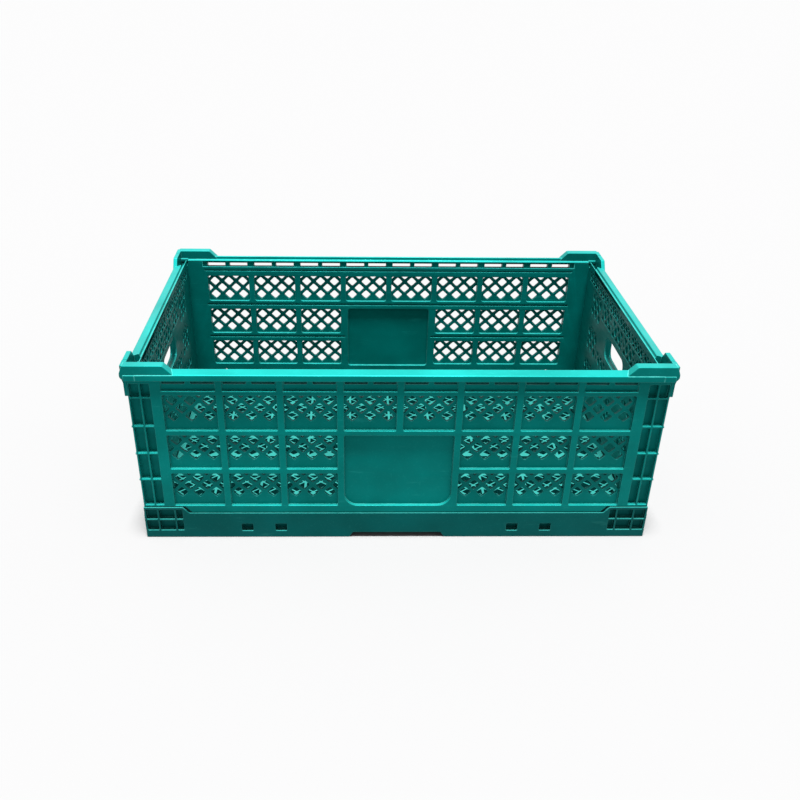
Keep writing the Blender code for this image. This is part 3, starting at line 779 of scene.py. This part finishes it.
def moulded_plastic(name, colours, roughness, top_light_share):
    """Satin polypropylene: cloudy colour, fine moulded grain, scuffs, edges paled partly by wear and
    partly by a painted highlight, and upward faces paled by painted top light.
    """
    deep, main, pale_wear_and_top_light = colours
    material = bpy.data.materials.new(name)
    material.use_nodes = True
    tree = material.node_tree
    shader = tree.nodes["Principled BSDF"]
    shader.inputs["IOR"].default_value = 1.49
    shader.inputs["Specular IOR Level"].default_value = 0.35
    shader.inputs["Specular Tint"].default_value = SHEEN_TINT
    place = node(tree, "ShaderNodeTexCoord", {})
    coordinates = place.outputs["Object"]
    clouds = noise(tree, coordinates, 16.0, 3.0)
    speckle = noise(tree, coordinates, 420.0, 2.0)
    scuffs = noise(tree, coordinates, 60.0, 4.0, 0.65, (0.25, 0.25, 2.2))
    facing = node(tree, "ShaderNodeSeparateXYZ", {"Vector": place.outputs["Normal"]})
    # Upward faces are mixed towards the pale colour: painted top light, broken up by the clouds.
    painted_top_light = multiply(tree, remap(tree, facing.outputs["Z"], 0.75, 0.95, 0.0, top_light_share),
                    remap(tree, clouds, 0.3, 0.7, 0.7, 1.0))
    colour = mix(tree, remap(tree, clouds, 0.35, 0.68, 0.0, 1.0), deep, main)
    colour = mix(tree, remap(tree, speckle, 0.58, 0.75, 0.0, 0.1), colour, pale_wear_and_top_light)
    colour = mix(tree, remap(tree, scuffs, 0.62, 0.74, 0.0, 0.3), colour, pale_wear_and_top_light)
    # Edges paled: partly wear, partly a painted highlight along the ledges.
    colour = mix(tree, edge_wear_and_highlight(tree, coordinates), colour, EDGE_WEAR_AND_HIGHLIGHT_COLOUR)
    colour = mix(tree, painted_top_light, colour, pale_wear_and_top_light)
    tree.links.new(colour, shader.inputs["Base Color"])
    tree.links.new(remap(tree, scuffs, 0.3, 0.75, roughness - 0.05, roughness + 0.14),
                   shader.inputs["Roughness"])
    grain = bump(tree, noise(tree, coordinates, 1100.0, 2.0), 0.25, 0.0001)
    waves = bump(tree, noise(tree, coordinates, 22.0, 2.0), 0.3, 0.002, grain)
    tree.links.new(waves, shader.inputs["Normal"])
    return material


def drawn_steel(name):
    """Zinc-plated wire with fine lines along it."""
    material = bpy.data.materials.new(name)
    material.use_nodes = True
    tree = material.node_tree
    shader = tree.nodes["Principled BSDF"]
    shader.inputs["Metallic"].default_value = 1.0
    coordinates = node(tree, "ShaderNodeTexCoord", {}).outputs["Object"]
    streaks = noise(tree, coordinates, 260.0, 3.0, 0.6, (0.1, 0.1, 1.0))
    dull = noise(tree, coordinates, 45.0, 3.0)
    tree.links.new(mix(tree, dull, DULL_STEEL, BRIGHT_STEEL), shader.inputs["Base Color"])
    tree.links.new(remap(tree, streaks, 0.3, 0.7, 0.25, 0.5), shader.inputs["Roughness"])
    tree.links.new(bump(tree, streaks, 0.2, 0.0002), shader.inputs["Normal"])
    return material


# ---- Pieces ----

SHARP_ANGLE = 0.85


def piece(name, shape, material, stand, body, node_name):
    """Turn a shape into a piece that stands for a CAD node and rides on its body."""
    placed = shape.copy()
    placed.transform(Matrix.Scale(MM, 4) @ stand)
    bmesh.ops.recalc_face_normals(placed, faces=placed.faces)
    mesh = bpy.data.meshes.new(name)
    placed.to_mesh(mesh)
    placed.free()
    mesh.materials.append(material)
    mesh.shade_smooth()
    mesh.set_sharp_from_angle(angle=SHARP_ANGLE)
    item = bpy.data.objects.new(name, mesh)
    bpy.context.scene.collection.objects.link(item)
    weigh = item.modifiers.new("even_normals", "WEIGHTED_NORMAL")
    weigh.keep_sharp = True
    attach(item, body)
    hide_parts(node_name)


# The last number is how strongly upward faces are paled: painted top light.
wall_plastic = moulded_plastic("teal_wall_plastic", WALL_COLOURS, 0.34, 0.2)
# The tray takes the darker palette: painted shade.
tray_plastic_painted_shade = moulded_plastic("teal_tray_plastic", TRAY_COLOURS_PAINTED_SHADE, 0.4, 0.45)
steel = drawn_steel("plated_steel")

long_wall = long_wall_shape()
for side, turn in (("front", 0.0), ("back", pi)):
    piece(side + "_wall_panel", long_wall, wall_plastic, stand_matrix(HALF_DEPTH, turn),
          side + "_wall", side + "_long_wall")
long_wall.free()
end_wall = end_wall_shape()
for side, turn in (("right", pi / 2), ("left", -pi / 2)):
    piece(side + "_wall_panel", end_wall, wall_plastic, stand_matrix(HALF_LENGTH, turn),
          side + "_wall", side + "_end_wall")
end_wall.free()
tray = tray_shape()
piece("tray_moulding", tray, tray_plastic_painted_shade, Matrix.Identity(4), "tray", "base_tray")
tray.free()
for side in ("front", "back", "left", "right"):
    rod = frame["nodes"][side + "_hinge_rod"]
    for material_slot in rod.material_slots:
        material_slot.material = steel


# ---- Stage: lengths are in metres and angles in radians ----

FLOOR_DROP = 0.0002
CAMERA_PLACE = (-0.05188, -1.1012, 0.62964)
CAMERA_AZIMUTH = 0.028453
CAMERA_FALL = 0.578073
CAMERA_ROLL = 0.014738
CAMERA_SENSOR = 36.0
CAMERA_LENS = 41.5836
CAMERA_SHIFT = (0.03125, 0.1353125)


def pale_floor():
    """Wide floor, a hair below the crate's foot."""
    mesh = bpy.data.meshes.new("floor")
    flat = bmesh.new()
    bmesh.ops.create_grid(flat, x_segments=8, y_segments=8, size=40.0)
    flat.to_mesh(mesh)
    flat.free()
    material = bpy.data.materials.new("pale_floor")
    material.use_nodes = True
    shader = material.node_tree.nodes["Principled BSDF"]
    shader.inputs["Base Color"].default_value = (0.17, 0.17, 0.17, 1.0)
    shader.inputs["Roughness"].default_value = 0.9
    shader.inputs["Specular IOR Level"].default_value = 0.1
    mesh.materials.append(material)
    item = bpy.data.objects.new("floor", mesh)
    item.location.z = -FLOOR_DROP
    bpy.context.scene.collection.objects.link(item)


def soft_sky(strength):
    """Even, weak light from all round."""
    world = bpy.data.worlds.new("sky")
    bpy.context.scene.world = world
    world.use_nodes = True
    background = world.node_tree.nodes["Background"]
    background.inputs["Color"].default_value = (1.0, 1.0, 1.0, 1.0)
    background.inputs["Strength"].default_value = strength


def overhead_light(strength, spread, tilt):
    """One wide soft light from above, coming a little from the front."""
    light = bpy.data.lights.new("overhead", "SUN")
    light.energy = strength
    light.angle = spread
    item = bpy.data.objects.new("overhead", light)
    item.rotation_euler = (tilt, 0.0, 0.0)
    bpy.context.scene.collection.objects.link(item)


def camera():
    """Camera in front of the crate and above it, looking down into it."""
    data = bpy.data.cameras.new("camera")
    data.sensor_width = CAMERA_SENSOR
    data.lens = CAMERA_LENS
    data.shift_x, data.shift_y = CAMERA_SHIFT
    data.clip_start = 0.05
    data.clip_end = 100.0
    item = bpy.data.objects.new("camera", data)
    azimuth, fall, roll = CAMERA_AZIMUTH, CAMERA_FALL, CAMERA_ROLL
    forward = Vector((sin(azimuth) * cos(fall), cos(azimuth) * cos(fall), -sin(fall)))
    right = Vector((cos(azimuth), -sin(azimuth), 0.0))
    up = right.cross(forward)
    turned_right = right * cos(roll) + up * sin(roll)
    turned_up = up * cos(roll) - right * sin(roll)
    place = Matrix((turned_right, turned_up, -forward)).transposed().to_4x4()
    place.translation = Vector(CAMERA_PLACE)
    item.matrix_world = place
    bpy.context.scene.collection.objects.link(item)
    bpy.context.scene.camera = item


pale_floor()
soft_sky(strength=0.6)
overhead_light(strength=16.0, spread=0.25, tilt=0.095)
camera()
bpy.context.scene.view_settings.view_transform = "Standard"
